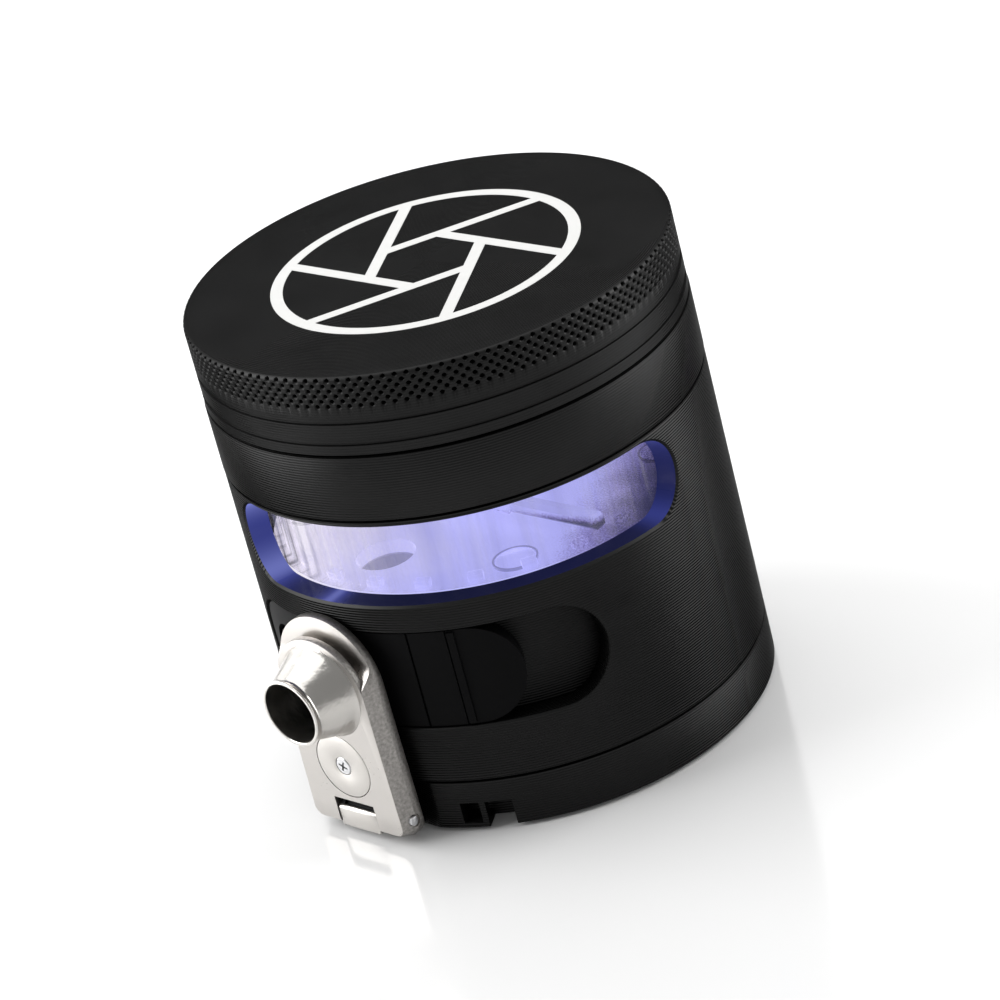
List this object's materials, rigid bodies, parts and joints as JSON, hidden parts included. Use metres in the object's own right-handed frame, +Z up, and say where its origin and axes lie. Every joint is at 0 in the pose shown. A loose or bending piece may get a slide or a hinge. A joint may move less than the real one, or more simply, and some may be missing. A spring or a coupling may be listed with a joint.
{
  "type": "herb grinder",
  "caption": "Round black herb grinder with a knurled lid, a lit viewing window, a sliding dispensing gate and a hinged metal filling spout.",
  "frame": {"origin": "centre of the flat face of the rubber foot that the grinder stands on", "axes": "+Z up along the body's axis to the lid; the spout is at the front, towards -Y"},
  "size_m": [0.063, 0.0723, 0.0648],
  "materials": {
    "black_aluminium": "satin black anodised, finely turned",
    "black_plastic": "matte black moulding",
    "nickel": "satin nickel plate",
    "steel": "bare machined steel",
    "clear_plastic": "clear polished plastic",
    "milky_plastic": "milky, light-spreading",
    "rubber": "matte",
    "magnet": "nickel-coated",
    "circuit_board": "green solder mask",
    "battery_wrap": "blue shrink wrap",
    "led": "clear lens"
  },
  "bodies": {
    "housing": {"base_ring": "black_aluminium", "base_cover": "black_plastic", "rubber_foot": "rubber", "base_screw_1": "steel", "base_screw_2": "steel", "base_screw_3": "steel", "base_screw_4": "steel", "chamber_body": "black_aluminium", "window_sleeve": "clear_plastic", "latch_magnet": "magnet", "chamber_floor": "milky_plastic", "chute": "black_plastic", "light_board": "circuit_board", "led_1": "led", "led_2": "led", "led_3": "led", "led_4": "led", "inner_frame": "black_plastic", "drive_motor": "steel", "gearbox": "steel", "battery": "battery_wrap", "circuit_board": "circuit_board", "gate_switch": "black_plastic", "charging_socket": "steel", "hinge_bracket": "nickel", "hinge_bush": "black_plastic"},
    "sweeper": {"drive_shaft": "steel", "sweeper_hub": "milky_plastic", "sweeper_arm_1": "steel", "sweeper_arm_2": "steel"},
    "gate": {"gate_slider": "black_plastic"},
    "spout": {"spout_plate": "nickel", "funnel": "nickel", "magnet_cap": "nickel", "plate_magnet": "magnet", "cap_screw": "steel", "hinge_pin": "steel"},
    "seal": {"thread_seal": "rubber"},
    "ring": {"grinding_ring": "black_aluminium", "ring_magnet": "magnet"},
    "glide": {"friction_ring": "milky_plastic"},
    "lid": {"lid": "black_aluminium", "lid_magnet": "magnet"}
  },
  "joints": [
    {"name": "sweeper_turn", "type": "hinge", "parent": "housing", "child": "sweeper", "pos_m": [0, 0, 0.034], "axis": [0, 0, 1], "continuous": true},
    {"name": "gate_slide", "type": "hinge", "parent": "housing", "child": "gate", "pos_m": [0, 0, 0.02225], "axis": [0, 0, 1], "range_deg": [0, 19.5]},
    {"name": "spout_swing", "type": "hinge", "parent": "housing", "child": "spout", "pos_m": [0, -0.0334, 0.0035], "axis": [1, 0, 0], "range_deg": [0, 74]},
    {"name": "ring_rise", "type": "slide", "parent": "housing", "child": "seal", "axis": [0, 0, 1], "range_m": [0, 0.0024]},
    {"name": "ring_turn", "type": "hinge", "parent": "seal", "child": "ring", "pos_m": [0, 0, 0.0455], "axis": [0, 0, 1], "range_deg": [0, 720]},
    {"name": "lid_lift", "type": "slide", "parent": "ring", "child": "glide", "axis": [0, 0, 1], "range_m": [0, 0.014]},
    {"name": "lid_spin", "type": "hinge", "parent": "glide", "child": "lid", "pos_m": [0, 0, 0.06], "axis": [0, 0, 1], "continuous": true}
  ],
  "couplings": [
    {"joint": "ring_rise", "follows": "ring_turn", "m_per_rad": 0.00019099}
  ]
}
